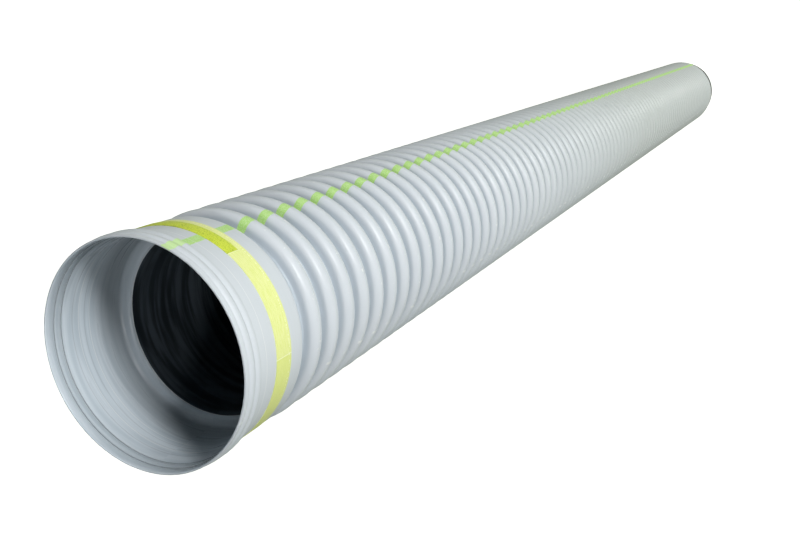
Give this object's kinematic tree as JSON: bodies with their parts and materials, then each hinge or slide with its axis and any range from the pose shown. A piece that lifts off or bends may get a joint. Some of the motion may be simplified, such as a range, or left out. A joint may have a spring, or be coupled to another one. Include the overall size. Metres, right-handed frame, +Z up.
{
  "type": "corrugated drainage pipe",
  "caption": "Long corrugated plastic drainage pipe with a smooth dark liner, a banded bell at one end and a sealed spigot at the other.",
  "frame": {"origin": "centre of the spigot's end, on the floor that the pipe stands on", "axes": "+Z up along the axis from the spigot's end to the bell's mouth"},
  "size_m": [0.4564, 0.4564, 6.155],
  "materials": {
    "grey_wall": "satin moulded polypropylene",
    "black_liner": "smooth extruded polypropylene",
    "yellow_tape": "translucent fibre reinforced tape",
    "black_rubber": "matt"
  },
  "bodies": {
    "root": {"outer_wall": "grey_wall", "inner_liner": "black_liner", "bell_band": "yellow_tape", "spigot_seal": "black_rubber"}
  },
  "joints": []
}
